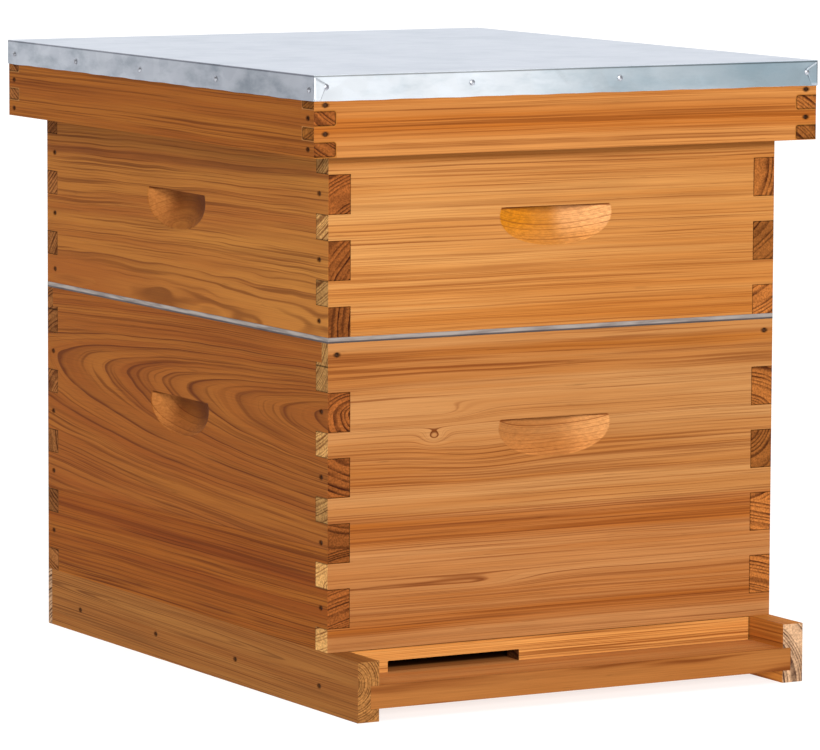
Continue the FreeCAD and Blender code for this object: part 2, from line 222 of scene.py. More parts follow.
def growth_rings_group():
    """Growth rings round a pith that runs nearly along the grain, and the tones between them."""
    group = bpy.data.node_groups.new("growth_rings", "ShaderNodeTree")
    group.interface.new_socket("Position", in_out="INPUT", socket_type="NodeSocketVector")
    for name in ("Pith Height", "Pith Depth", "Rise", "Dive", "Ring Width", "Squeeze", "Waviness",
                 "Softness", "Seed"):
        group.interface.new_socket(name, in_out="INPUT", socket_type="NodeSocketFloat")
    tree = Tree(group)
    given = tree.add("NodeGroupInput").outputs
    along, across, out = tree.separate(given["Position"])
    shift = tree.times(given["Seed"], RING_SEED_STEP)
    place = tree.vector("ADD", given["Position"], tree.combine(shift, shift, shift))

    # The grain wanders across and outwards, in broad waves with smaller ones on top
    wander = []
    for turn in (0.0, OUTWARD_SHIFT):
        broad = tree.minus(tree.noise(place, BROAD_WAVES, detail=1.0, shift=turn), 0.5)
        small = tree.minus(tree.noise(place, SMALL_WAVES, detail=1.0, shift=turn), 0.5)
        waves = tree.plus(broad, small, 0.34)
        wander.append(tree.times(waves, tree.times(given["Waviness"], 2.0)))
    level = tree.plus(across, wander[0])
    height = tree.minus(level, tree.plus(given["Pith Height"], given["Rise"], along))
    upper = tree.math("GREATER_THAN", height, 0.0)
    height = tree.times(height, tree.mix_value(upper, 1.0, given["Squeeze"]))
    depth = tree.minus(out, tree.plus(given["Pith Depth"], given["Dive"], along))
    depth = tree.plus(depth, wander[1])
    radius = tree.vector("LENGTH", tree.combine(height, depth, 0.0))

    # Wide and narrow years
    years = tree.over(radius, given["Ring Width"])
    growth = tree.noise_line(tree.plus(given["Seed"], years, 0.43))
    years = tree.plus(years, growth, 2.2)
    year = tree.math("FLOOR", years)
    season = tree.math("FRACT", years)
    shade = tree.times(tree.remap(season, SUMMER, 0.96), given["Softness"])
    shade = tree.plus(shade, tree.remap(season, AUTUMN, WINTER), 0.80)
    shade = tree.times(shade, tree.remap(season, WINTER, 1.0, 1.0, 0.0))
    faint = tree.remap(tree.noise(place, FAINT_RINGS, detail=1.0), 0.25, 0.60, 0.35, 1.0)
    chance = tree.random(tree.plus(year, given["Seed"]))
    strength = tree.times(tree.plus(0.30, chance, 0.70), faint)
    broad = tree.times(tree.remap(season, 0.35, 0.85), tree.remap(season, 0.93, 1.0, 1.0, 0.0))

    results = {
        "Latewood": tree.times(shade, strength),
        "End Rings": tree.times(broad, tree.math("SQRT", strength)),
        "Ring Tone": tree.random(tree.plus(year, 7.7)),
        "Sapwood": tree.noise_line(tree.plus(5.3, years, 0.19), detail=1.0),
        "Radius": radius,
        "Level": level,
    }
    for name in results:
        group.interface.new_socket(name, in_out="OUTPUT", socket_type="NodeSocketFloat")
    tree.add("NodeGroupOutput", *results.values())
    return group


GROWTH_RINGS = growth_rings_group()


@dataclass
class Plank:
    """One glued-up strip of a board: where its pith runs, and how its rings look, in millimetres.

    The pith has a height and a depth, and leans by so much for each millimetre along. A plank that lies
    below another has a top. A band has its height, half its width, how streaky and how red it is."""

    pith: tuple
    lean: tuple = (0.0, 0.0)
    ring: float = 5.0
    squeeze: float = 1.0
    waves: float = 3.0
    seed: float = 1.0
    tint: tuple = (1.0, 1.0, 1.0)
    far_tint: tuple = None
    contrast: float = 1.0
    softness: float = 0.05
    streaks: float = 1.0
    top: float = None
    slope: float = 0.0
    bands: tuple = ()


@dataclass
class Joint:
    """The finger joint at a board's ends: its first level, pitch, finger height and depth.

    The cover's fingers lie in pockets whose eased edges get a pale painted highlight line."""

    top: float
    pitch: float
    finger: float
    depth: float = 20.0
    corner: float = 1.5
    pale: bool = False


class Palette:
    """A wood's colours: along the grain, on its ends, where nails have stained it, and for painted shade
    inside the hive.
    """

    nail_stain = colour(48, 22, 8)

    def __init__(self, *tones):
        tones = [colour(*tone) for tone in tones]
        self.early, self.warm, self.late, self.streak, self.end_light, self.end_dark = tones


@dataclass
class Swirl:
    """A place where the grain bends: round a small knot, or in a tongue that points along the board."""

    along: float
    across: float
    length: float
    width: float
    push: float
    tongue: bool = False


@dataclass
class Handhold:
    """The hollow that fingers go into: its ceiling's height and its middle along the board; its colours
    at one end, the other and the foot, which hold painted light and shade, how strongly they show, and
    where along it the ends' colours meet, from -1 to 1; and how strongly the rings show."""

    half_length = 51.0
    height = 32.0
    depth = 12.0
    ceiling: float
    colours: tuple
    strength: float
    split: tuple
    middle: float = 0.0
    rings: float = 0.65


def swirled(tree, position, swirls):
    """The position, with the grain pushed across the board at each swirl, and how near a swirl is."""
    along, across, out = tree.separate(position)
    moved, nearest = across, 0.0
    for swirl in swirls:
        far_along = tree.over(tree.minus(along, swirl.along), swirl.length)
        if swirl.tongue:
            far_along = tree.math("MAXIMUM", far_along, 0.0)
        far_across = tree.over(tree.minus(across, swirl.across), swirl.width)
        far = tree.vector("LENGTH", tree.combine(far_along, far_across, 0.0))
        near = tree.math("EXPONENT", tree.times(tree.times(far, far), -1.0))
        moved = tree.plus(moved, near, swirl.push)
        nearest = tree.math("MAXIMUM", nearest, near)
    return tree.combine(along, moved, out), nearest


def plank_colour(tree, position, near_swirl, plank, palette):
    """One plank's colour on its long faces, its latewood and its colour on its ends."""
    along, across, out = tree.separate(position)
    rings = tree.add("ShaderNodeGroup", node_tree=GROWTH_RINGS)
    values = (position, *plank.pith, *plank.lean, plank.ring, plank.squeeze, plank.waves,
              plank.softness, plank.seed)
    tree.fill(rings, dict(enumerate(values)))
    late, end_rings, ring_tone, sapwood, radius, level = rings.outputs[:6]

    # Tones and streaks follow the rings, and gather in the plank's own bands
    shift = plank.seed * TONE_SEED_STEP
    place = tree.vector("ADD", tree.combine(along, radius, across), (shift, shift, shift))
    tone = tree.remap(tree.noise(place, TONES, detail=3.0), 0.32, 0.68)
    tone = tree.mix_value(0.30, tone, sapwood)
    tone = tree.mix_value(0.25, tone, ring_tone)
    patches = tree.noise(place, STREAK_PATCHES, detail=1.0)
    amount = tree.remap(patches, 0.40, 0.70, 0.15 * plank.streaks, 0.70 * plank.streaks)
    for middle, half, share, redness in plank.bands:
        away = tree.positive(tree.over(tree.minus(level, middle), half))
        inside = tree.remap(away, 0.60, 1.30, 1.0, 0.0)
        amount = tree.mix_value(inside, amount, share)
        tone = tree.plus(tone, inside, redness)
    tone = tree.math("MINIMUM", tree.math("MAXIMUM", tone, 0.0), 1.2)
    base = tree.mix(tone, palette.early, palette.warm)
    base.node.clamp_factor = False
    streak = tree.remap(tree.noise(place, STREAKS), 0.48, 0.66)
    base = tree.mix(tree.times(streak, amount), base, palette.streak)
    hairline = tree.noise(place, HAIRLINES, detail=1.0)
    base = tree.mix(tree.remap(hairline, 0.55, 0.72, 0.0, 0.65 * plank.streaks), base, palette.streak)
    amount = tree.times(late, 1.25 * plank.contrast)
    if near_swirl is not None:
        amount = tree.plus(amount, tree.times(late, near_swirl), 0.9)
    base = tree.mix(amount, base, palette.late)
    tints = [(*tint, 1.0) for tint in (plank.tint, plank.far_tint or plank.tint)]
    tint = tree.mix(tree.remap(along, -TINT_REACH, TINT_REACH), *tints)
    base = tree.mix(1.0, base, tint, blend="MULTIPLY")

    dark = tree.plus(tree.times(end_rings, 0.85), ring_tone, 0.15)
    dark = tree.plus(dark, tree.remap(tree.noise(place, END_BLOTCHES), 0.40, 0.70, 0.0, 0.30))
    return base, late, tree.mix(dark, palette.end_light, palette.end_dark)


def glued_planks(tree, position, planks, palette, swirls):
    """The colour, latewood and end colour of planks one below the other, and the seams between them."""
    near_swirl = None
    along, across, out = tree.separate(position)
    if swirls:
        position, near_swirl = swirled(tree, position, swirls)
    face, late, end = plank_colour(tree, position, near_swirl, planks[0], palette)
    seam = 0.0
    for plank in planks[1:]:
        lower = plank_colour(tree, position, near_swirl, plank, palette)
        below = tree.minus(tree.plus(plank.top, along, plank.slope), across)
        inside = tree.math("GREATER_THAN", below, 0.0)
        face = tree.mix(inside, face, lower[0])
        late = tree.mix_value(inside, late, lower[1])
        end = tree.mix(inside, end, lower[2])
        line = tree.remap(tree.positive(below), 0.15, 0.7, 1.0, 0.0)
        seam = tree.math("MAXIMUM", seam, line)
    return face, late, end, seam


def end_grain(tree, end, position, pores, joint, palette):
    """The ends' colour: open pores, and each finger of a joint a little different, with a painted shadow
    line round it, or, where its pocket's edges are eased, a pale painted highlight line with painted
    shade just inside it."""
    shade = tree.remap(pores, 0.34, 0.66, 0.70, 1.30)
    if joint is None:
        return tree.shaded(end, shade)
    along, across, out = tree.separate(position)
    below_top = tree.minus(joint.top, across)
    finger = tree.math("FLOOR", tree.over(below_top, joint.pitch))
    far_end = tree.math("GREATER_THAN", along, 0.0)
    chance = tree.random(tree.plus(finger, far_end, 9.3))
    shade = tree.times(shade, tree.plus(0.62, chance, 0.66))

    # How far a point lies from the finger's rounded outline
    level = tree.plus(below_top, finger, -joint.pitch)
    inner = tree.positive(tree.plus(out, joint.depth))
    nearest = joint.pitch
    for edge in (0.0, joint.finger, joint.pitch):
        nearest = tree.math("MINIMUM", nearest, tree.positive(tree.minus(level, edge)))
    past = [tree.math("MAXIMUM", tree.minus(joint.corner, gap), 0.0) for gap in (inner, nearest)]
    gap = tree.minus(joint.corner, tree.vector("LENGTH", tree.combine(*past)))
    # Painted light round each finger: on eased pocket edges a pale highlight line with painted shade just
    # inside it, on other joints a painted shadow line in the gap
    if joint.pale:
        shade = tree.times(shade, tree.remap(gap, 0.9, 2.4, 0.45, 1.0))
        return tree.mix(tree.remap(gap, 0.35, 0.95, 0.85, 0.0), tree.shaded(end, shade), palette.early)
    return tree.shaded(end, tree.times(shade, tree.remap(gap, 0.30, 1.0, 0.30, 1.0)))


def hollowed(tree, face, late, position, pores, handhold, dark):
    """The face's colour where a cutter has hollowed out the handhold, painted lit and shaded, under a
    painted shadow line.
    """
    along, across, out = tree.separate(position)
    below = tree.minus(handhold.ceiling, across)
    reach = tree.over(tree.minus(along, handhold.middle), handhold.half_length)
    deepest = -handhold.depth
    inside = tree.remap(out, -0.9, -0.2, 1.0, 0.0)
    for limit in (tree.remap(out, deepest - 2.0, deepest - 0.6),
                  tree.remap(below, -0.6, 0.0),
                  tree.math("LESS_THAN", below, handhold.height + 2.0),
                  tree.math("LESS_THAN", tree.positive(reach), 1.05)):
        inside = tree.times(inside, limit)
    near_end, far_end, foot = [colour(*tone) for tone in handhold.colours]
    cut = tree.mix(tree.remap(reach, *handhold.split), near_end, far_end)
    cut = tree.mix(tree.remap(below, 10.0, 30.0, 0.0, 0.75), cut, foot)
    cut = tree.shaded(cut, tree.remap(pores, 0.32, 0.68, 0.78, 1.18))
    cut = tree.mix(tree.times(late, handhold.rings), cut, dark)
    amount = tree.remap(tree.positive(reach), 0.0, 0.6, 0.6 * handhold.strength, handhold.strength)
    face = tree.mix(tree.times(inside, amount), face, cut)
    # Painted shadow: a dark line just under the handhold's ceiling
    line = tree.times(tree.remap(below, 1.0, 2.6, 0.95, 0.0), inside)
    return tree.mix(line, face, dark)


# Nail holes are stained a little way round the nail, and further along the grain
STAIN_CORE = 1.1
STAIN_REACH = 2.9
STAIN_STRETCH = 1.6


def nail_stains(tree, position, spots):
    """How dark the wood is round the nails at these places on its face."""
    along, across, out = tree.separate(position)
    nearest = STAIN_REACH
    for spot_along, spot_across in spots:
        ahead = tree.over(tree.minus(along, spot_along), STAIN_STRETCH)
        gap = tree.combine(ahead, tree.minus(across, spot_across), 0.0)
        nearest = tree.math("MINIMUM", nearest, tree.vector("LENGTH", gap))
    return tree.remap(nearest, STAIN_CORE, STAIN_REACH, 0.85, 0.0)


def wood(name, origin, axes, planks, palette, swirls=(), joint=None, handhold=None, nails=(), stain=None,
         sheen=0.6):
    """A board's wood. The axes run along the grain, up or across the board, and out of its face.

    A floor board is darkened with painted shade beyond a line across it."""
    material, tree, shader = new_material(name)
    place = tree.vector("SUBTRACT", tree.place(), tuple(origin / MM))
    position = tree.combine(*[tree.vector("DOT_PRODUCT", place, tuple(axis)) for axis in axes])
    face, late, end, seam = glued_planks(tree, position, planks, palette, swirls)

    # Fine fibres and small dark flecks
    fibre = tree.remap(tree.noise(position, FIBRES), 0.3, 0.7)
    fleck = tree.remap(tree.noise(position, FLECKS), 0.66, 0.76)
    shade = tree.plus(tree.plus(0.90, fibre, 0.16), fleck, -0.20)
    face = tree.shaded(face, shade)
    if len(planks) > 1:
        face = tree.mix(tree.times(seam, 0.45), face, palette.streak)

    pores = tree.noise(position, PORES, detail=4.0, roughness=0.7)
    end = end_grain(tree, end, position, pores, joint, palette)
    if handhold:
        face = hollowed(tree, face, late, position, pores, handhold, palette.streak)
    facing = tree.vector("DOT_PRODUCT", tree.normal(), tuple(axes[0]))
    ends = tree.remap(tree.positive(facing), 0.80, 0.97)
    base = tree.mix(ends, face, end)
    spots = face_spots(nails, origin, axes)
    if spots:
        base = tree.mix(nail_stains(tree, position, spots), base, palette.nail_stain)
    # Painted shade on a floor board inside the hive, beyond the given line
    if stain is not None:
        across = tree.separate(position)[1]
        base = tree.mix(tree.remap(across, stain - 4.0, stain + 6.0, 0.0, 0.93), base, palette.nail_stain)

    rough = tree.plus(tree.plus(sheen, late, -0.06), ends, 0.22)
    rough = tree.plus(rough, fibre, 0.08)
    relief = tree.plus(tree.times(late, 0.7), fibre, 0.5)
    relief = tree.plus(relief, tree.times(ends, pores), 2.0)
    set_surface(tree, shader, base, rough, relief, 0.35, 0.12 * MM, specular=0.02)
    return material


# Each wood's early, warm, late and streak tones, and the light and dark tones of its ends
SIDE_TONES = ((168, 105, 44), (142, 76, 30), (106, 54, 20), (100, 50, 18))
SIDE_WOOD = Palette(*SIDE_TONES, (146, 82, 36), (60, 26, 12))
RIGHT_WOOD = Palette(*SIDE_TONES, (158, 94, 42), (72, 34, 14))
FRONT_WOOD = Palette(
    (173, 120, 71), (157, 95, 43), (104, 52, 21), (114, 58, 23), (202, 152, 90), (112, 64, 30))
REAR_WOOD = Palette(
    (168, 116, 66), (152, 88, 40), (104, 50, 20), (108, 54, 20), (154, 98, 52), (78, 38, 16))
RIM_WOOD = Palette(
    (176, 118, 66), (160, 94, 40), (108, 54, 20), (114, 58, 20), (150, 92, 38), (90, 46, 18))
RAIL_WOOD = Palette(
    (160, 106, 48), (140, 82, 32), (84, 42, 16), (92, 46, 18), (188, 150, 116), (66, 40, 30))
LEFT_RAIL_WOOD = Palette(
    (162, 108, 54), (142, 84, 38), (88, 48, 22), (94, 50, 24), (156, 106, 56), (84, 46, 20))
# The reducer's ends are dark: painted shade on the end faces of its slot
REDUCER_WOOD = Palette(
    (208, 150, 88), (186, 116, 54), (120, 62, 24), (128, 68, 26), (90, 52, 26), (50, 26, 12))
PALE_WOOD = Palette(
    (214, 176, 122), (196, 146, 92), (150, 98, 52), (158, 104, 58), (176, 132, 92), (110, 70, 44))


# CAD nodes


def face_origin(node, side):
    """The point on the outer face, level with the ground, halfway along the board."""
    low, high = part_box(node)
    middle = (low + high) / 2
    outer = {"front": low.y, "rear": high.y, "left": low.x, "right": high.x}[side]
    if side in ("front", "rear"):
        return Vector((middle.x, outer, 0))
    return Vector((outer, middle.y, 0))


def piece_boxes(node):
    """The lowest and highest corners of each separate piece in a node's mesh, such as each nail."""
    mesh = bmesh.new()
    mesh.from_mesh(nodes[node].data)
    bmesh.ops.remove_doubles(mesh, verts=mesh.verts, dist=0.01 * MM)
    left = set(mesh.verts)
    boxes = []
    while left:
        piece = {left.pop()}
        edge = set(piece)
        while edge:
            edge = {link.other_vert(vert) for vert in edge for link in vert.link_edges} - piece
            piece |= edge
        left -= piece
        boxes.append([Vector([pick(vert.co[axis] for vert in piece) for axis in range(3)])
                      for pick in (min, max)])
    mesh.free()
    return sorted(boxes, key=lambda box: tuple(box[0]))


def face_spots(boxes, origin, axes):
    """Where pieces come out on a board's outer face, in millimetres along and across the board."""
    spots = []
    outwards = Vector([abs(part) for part in axes[2]])
    for low, high in boxes:
        middle = (low + high) / 2 - origin
        outer = middle.dot(axes[2]) + (high - low).dot(outwards) / 2
        if abs(outer) < 1.0 * MM:
            spots.append((middle.dot(axes[0]) / MM, middle.dot(axes[1]) / MM))
    return spots


def dress(node, material, ease=0.0):
    """Give a CAD node a material, in place of the ones it came with, and ease its edges."""
    mesh = nodes[node].data
    mesh.materials.clear()
    mesh.materials.append(material)
    if ease:
        soften(nodes[node], ease)


def soften(item, width):
    """Ease a CAD node's edges, as sandpaper does, with modifiers that leave its mesh alone."""
    if "custom_normal" in item.data.attributes:
        item.data.attributes.remove(item.data.attributes["custom_normal"])
    item.data.polygons.foreach_set("use_smooth", [True] * len(item.data.polygons))
    modify(item, "weld", "WELD", merge_threshold=0.01 * MM)
    modify(item, "flat", "DECIMATE", decimate_type="DISSOLVE", angle_limit=math.radians(1.0))
    modify(item, "bevel", "BEVEL", width=width, segments=2, limit_method="ANGLE",
           angle_limit=math.radians(60), miter_outer="MITER_ARC")
    modify(item, "normals", "WEIGHTED_NORMAL", keep_sharp=True)


def dress_wood(node, ease, origin, axes, planks, palette, **details):
    """Give a CAD node its own wood, and ease its edges."""
    dress(node, wood(node + "_wood", origin, axes, planks, palette, **details), ease)


# Wooden parts

# How far sandpaper has eased the edges
BOX_EASE = 0.45 * MM
RAIL_EASE = 0.8 * MM
BOARD_EASE = 0.4 * MM
PANEL_EASE = 0.2 * MM

# Grain that bends round a small knot left of the brood box's front handhold, and a long tongue below
BROOD_SWIRLS = (
    Swirl(-108, 232, 36, 7, 11.0, tongue=True),
    Swirl(-111, 213, 11, 6, 9.0),
    Swirl(-70, 196, 55, 16, 6.0),
    Swirl(-80, 94, 60, 6, 8.5, tongue=True),
)


def box_boards():
    """The planks of each board of the brood box, super and cover rim, in the wood of its side."""
    return {
        "brood_front_board": [
            Plank((318, -66), ring=3.4, waves=1.5, seed=3, contrast=0.75, far_tint=(1.0, 1.05, 1.07),
                  bands=((290, 5, 0.1, -0.4), (270, 13, 0.85, 0.40), (231, 24, 0.15, -0.20),
                         (191, 15, 0.6, 0.20), (166, 11, 0.12, -0.25))),
            Plank((300, -90), ring=3.6, waves=1.3, seed=8, contrast=0.7, top=152, tint=(0.96, 0.92, 0.92),
                  bands=((141, 11, 0.6, 0.4), (110, 17, 0.2, -0.2), (83, 8, 0.5, 0.2),
                         (67, 8, 0.6, 0.4), (54, 6, 0.2, -0.4))),
        ],
        "brood_rear_board": [Plank((170, -60), lean=(0.0, 0.06), waves=2.6, seed=23, contrast=0.8)],
        "brood_left_board": [
            Plank((235, -50), lean=(0.0, 0.093), ring=6.0, squeeze=1.9, seed=5, softness=0.30,
                  contrast=1.1, tint=(0.96, 0.93, 0.91)),
            Plank((-120, -70), ring=3.4, waves=1.6, seed=2, streaks=1.4, top=125, slope=0.02,
                  tint=(0.92, 0.84, 0.66), bands=((112, 14, 0.7, 0.3), (70, 16, 0.6, 0.1))),
        ],
        "brood_right_board": [
            Plank((210, -46), lean=(0.0, -0.07), ring=5.4, squeeze=1.4, seed=25, softness=0.15,
                  streaks=0.7),
            Plank((-90, -60), ring=3.6, waves=1.6, seed=22, contrast=0.7, top=140, slope=-0.015,
                  tint=(0.9, 0.84, 0.8)),
        ],
        "super_front_board": [
            Plank((560, -120), ring=3.2, waves=1.2, seed=6, contrast=0.8, tint=(1.26, 1.34, 1.26),
                  far_tint=(1.11, 1.08, 0.88), streaks=0.9,
                  bands=((455, 12, 0.5, 0.30), (384, 30, 0.15, -0.30), (306, 9, 0.5, 0.30))),
        ],
        "super_rear_board": [Plank((250, -110), ring=3.6, waves=1.6, seed=26, contrast=0.65)],
        "super_left_board": [
            Plank((300, -70), lean=(0.02, 0.0), waves=3.5, seed=4, contrast=0.75, softness=0.2,
                  streaks=1.1, tint=(1.10, 1.17, 1.24), far_tint=(1.30, 1.50, 1.66)),
        ],
        "super_right_board": [Plank((420, -50), lean=(0.0, 0.05), ring=5.6, waves=3.2, seed=24,
                                    contrast=0.7, streaks=0.8)],
        "cover_rim_front": [
            Plank((620, -80), ring=3.4, waves=1.2, seed=9, contrast=0.6, tint=(1.09, 1.07, 0.96),
                  bands=((476, 6, 0.2, -0.1), (462, 7, 0.7, 0.35), (446, 6, 0.1, -0.35))),
        ],
        "cover_rim_rear": [Plank((580, -80), ring=3.6, waves=1.4, seed=29, contrast=0.6,
                                 tint=(1.1, 1.04, 0.9))],
        "cover_rim_left": [Plank((560, -80), ring=3.6, waves=1.6, seed=12, contrast=0.65,
                                 tint=(0.94, 0.90, 0.78))],
        "cover_rim_right": [Plank((380, -70), ring=3.8, waves=1.6, seed=32, contrast=0.65)],
    }


def box_handhold(box, side, ceiling):
    """A brood or super board's handhold, in the tones of its side, with painted light and shade."""
    # The cut wood's colours hold painted light and shade: a lit end and a shaded end, as the key light
    # falls into the hollow, and a foot painted paler against the real shade low in it
    bright, dark, foot = (172, 108, 54), (98, 46, 18), (172, 106, 52)
    tan, pale, orange = (164, 102, 50), (204, 142, 84), (206, 132, 70)
    golden, cream, amber = (190, 116, 20), (214, 154, 98), (198, 128, 56)
    backwards = 3.0 if box == "brood" else 9.0
    if side == "left":
        return Handhold(ceiling, (bright, dark, foot), 0.8, (-0.75, -0.25), middle=-backwards)
    if side == "right":
        return Handhold(ceiling, (dark, bright, foot), 0.8, (0.25, 0.75), middle=backwards)
    if side == "rear":
        return Handhold(ceiling, (tan, orange, tan), 0.45, (-0.8, 0.8))
    if box == "brood":
        return Handhold(ceiling, (tan, pale, orange), 0.65, (0.0, 0.7), rings=1.6)
    return Handhold(ceiling, (golden, cream, amber), 0.95, (-0.05, 0.28), rings=1.0)


def dress_boxes():
    """The brood box, the super and the cover's rim."""
    plans = box_boards()
    box_palettes = {"front": FRONT_WOOD, "rear": REAR_WOOD, "left": SIDE_WOOD, "right": RIGHT_WOOD}
    rim_palettes = {**box_palettes, "front": RIM_WOOD}
    palettes = {"brood": box_palettes, "super": box_palettes, "cover_rim": rim_palettes}
    suffixes = {"brood": "_board", "super": "_board", "cover_rim": ""}
    tops = {box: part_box(box + "_front" + suffix)[1].z / MM for box, suffix in suffixes.items()}
    joints = {
        "brood": Joint(tops["brood"] - 38.8, pitch=51.8, finger=31.6),
        "super": Joint(tops["super"] - 40.6, pitch=51.8, finger=31.6),
        "cover_rim": Joint(tops["cover_rim"] - 7.6, pitch=24.2, finger=13.0, corner=3.0, pale=True),
    }
    ceilings = {"brood": tops["brood"] - 68.8, "super": tops["super"] - 72.2}
    nails = {"brood": piece_boxes("brood_box_nails"), "super": piece_boxes("super_nails"),
             "cover_rim": piece_boxes("cover_rim_nails")}
    for box, suffix in suffixes.items():
        for side in SIDES:
            node = box + "_" + side + suffix
            swirls = BROOD_SWIRLS if node == "brood_front_board" else ()
            handhold = box_handhold(box, side, ceilings[box]) if box in ceilings else None
            dress_wood(node, BOX_EASE, face_origin(node, side), FACE_AXES[side], plans[node],
                       palettes[box][side], swirls=swirls, joint=joints[box], handhold=handhold,
                       nails=nails[box], sheen=0.5)


def dress_bottom_board():
    """The rails, the floor and the entrance reducer."""
    left = Plank((34, 1.2), lean=(0.011, -0.016), ring=2.2, waves=0.8, seed=4, contrast=0.8, streaks=1.1)
    right = Plank((-4, -58), ring=4.2, waves=1.2, seed=7, contrast=0.6, tint=(1.65, 1.62, 1.50))
    rear = Plank((-30, -30), ring=3.4, waves=1.2, seed=11, contrast=0.8)
    rails = {
        "left": (Y, -X, left, LEFT_RAIL_WOOD),
        "right": (Y, X, right, RAIL_WOOD),
        "rear": (X, Y, rear, RAIL_WOOD),
    }
    nails = piece_boxes("bottom_board_nails")
    for side, (along, out, plank, palette) in rails.items():
        node = "bottom_rail_" + side
        dress_wood(node, RAIL_EASE, face_origin(node, side), (along, Z, out), [plank], palette,
                   nails=nails, sheen=0.55)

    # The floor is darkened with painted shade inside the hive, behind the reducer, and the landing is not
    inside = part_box("entrance_reducer")[1].y
    # Painted light: the floor boards are paler than their wood, against the shade that falls on the
    # landing's top. The strip along the landing's front edge is darker.
    edge_strip = Plank((-260, -40), ring=2.6, waves=1.2, seed=17, contrast=0.6, top=0.8,
                       tint=(0.82, 0.76, 0.66), streaks=1.3)
    for index in range(1, 5):
        node = "floor_board_%d" % index
        low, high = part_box(node)
        planks = [Plank((-260, -40 - 20 * index), ring=3.4, waves=1.2, seed=14 + index, contrast=0.6,
                        tint=(1.32, 1.26, 1.15), bands=((30, 30, 0.3, -0.2),))]
        if index == 1:
            planks.append(edge_strip)
        dress_wood(node, BOARD_EASE, Vector((0, low.y, high.z)), (X, Y, Z), planks, FRONT_WOOD,
                   stain=(inside - low.y) / MM, sheen=0.55)
    node = "entrance_reducer"
    plank = Plank((-160, -60), ring=3.2, waves=1.2, seed=21, contrast=0.9, tint=(1.08, 1.08, 1.0),
                  streaks=1.3)
    dress_wood(node, BOARD_EASE, face_origin(node, "front"), FACE_AXES["front"], [plank], REDUCER_WOOD,
               sheen=0.55)


def dress_inner_parts():
    """The deck under the sheet, and the inner cover."""
    for index in range(1, 4):
        node = "cover_deck_board_%d" % index
        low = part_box(node)[0]
        plank = Plank((60, 50 + 15 * index), waves=2.0, seed=30 + index, contrast=0.6)
        dress_wood(node, BOARD_EASE, Vector((0, low.y, low.z)), (X, Y, -Z), [plank], SIDE_WOOD)
    for side in SIDES:
        node = "inner_cover_rim_" + side
        axes = (X, Z, -Y) if side in ("front", "rear") else (Y, Z, -X)
        plank = Plank((400, -60), ring=4.0, waves=1.5, seed=40 + len(side), contrast=0.6)
        dress_wood(node, BOARD_EASE, face_origin(node, side), axes, [plank], PALE_WOOD)
    node = "inner_cover_panel"
    plank = Plank((0, 12), lean=(0.0, 0.03), ring=1.6, waves=9.0, seed=51, contrast=0.35)
    dress_wood(node, PANEL_EASE, Vector((0, 0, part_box(node)[1].z)), (Y, X, Z), [plank], PALE_WOOD)


# Frames

# Half sizes of a frame's pieces, a hair outside their faces, in millimetres
WAX_HALF_WIDTH = 1.3
WAX_HALF_LENGTH = 213.0
END_BAR_INNER = 214.3
END_BAR_OUTER = 224.2
NECK_HALF_WIDTH = 11.1
TOP_BAR_DEPTH = 18.9
# The stamped cells' width, and the gap between the wires in the wax
CELL_PITCH = 5.3
WIRE_PITCH = 52.0


def hexagons(tree, across, up):
    """How far a place is from the middle of its hexagonal cell: 0 at the middle, 0.5 at a wall."""
    tall = math.sqrt(3)
    nearest = 1.0
    for shift in (0.0, 0.5):
        x = tree.math("FLOORED_MODULO", tree.minus(across, shift), 1.0)
        y = tree.math("FLOORED_MODULO", tree.minus(up, shift * tall), tall)
        x = tree.positive(tree.minus(x, 0.5))
        y = tree.positive(tree.minus(y, tall / 2))
        slanted = tree.plus(tree.times(x, 0.5), y, tall / 2)
        nearest = tree.math("MINIMUM", nearest, tree.math("MAXIMUM", x, slanted))
    return nearest


def wax():
    """Beeswax foundation, stamped with hexagonal cells and crossed by the wires that stiffen it."""
    material, tree, shader = new_material("frame_wax")
    place = tree.place()
    x, y, z = tree.separate(place)
    wall = tree.remap(hexagons(tree, tree.over(y, CELL_PITCH), tree.over(z, CELL_PITCH)), 0.38, 0.46)
    cloud = tree.remap(tree.noise(place, (40, 40, 40), detail=3.0), 0.3, 0.7)
    base = tree.mix(cloud, colour(226, 164, 62), colour(196, 124, 38))
    base = tree.mix(tree.times(wall, 0.7), base, colour(244, 200, 112))
    wire = tree.math("FLOORED_MODULO", tree.plus(y, WIRE_PITCH / 2), WIRE_PITCH)
    wire = tree.positive(tree.minus(wire, WIRE_PITCH / 2))
    wire = tree.remap(wire, 0.3, 0.7, 0.8, 0.0)
    base = tree.mix(wire, base, colour(150, 140, 126))
    rough = tree.remap(cloud, 0.0, 1.0, 0.38, 0.52)
    relief = tree.math("MAXIMUM", wall, wire)
    set_surface(tree, shader, base, rough, relief, 0.8, 0.8 * MM, specular=0.4)
    return material


def frame_slots(node, bars, ends, comb):
    """Give each face of a frame its material: wax on the foundation, and grain along each bar."""
    mesh = nodes[node].data
    mesh.materials.clear()
    for material in (bars, ends, comb):
        mesh.materials.append(material)
    low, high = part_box(node)
    middle = (low + high) / 2
    slots = []
    for face in mesh.polygons:
        corners = [mesh.vertices[index].co for index in face.vertices]
        widths = [abs(corner.x - middle.x) / MM for corner in corners]
        lengths = [abs(corner.y - middle.y) / MM for corner in corners]
        below = (high.z - max(corner.z for corner in corners)) / MM
        slot = 0
        if max(widths) < WAX_HALF_WIDTH and max(lengths) < WAX_HALF_LENGTH:
            slot = 2
        elif min(lengths) > END_BAR_INNER and max(lengths) < END_BAR_OUTER:
            if below > TOP_BAR_DEPTH or max(widths) > NECK_HALF_WIDTH:
                slot = 1
        slots.append(slot)
    mesh.polygons.foreach_set("material_index", slots)


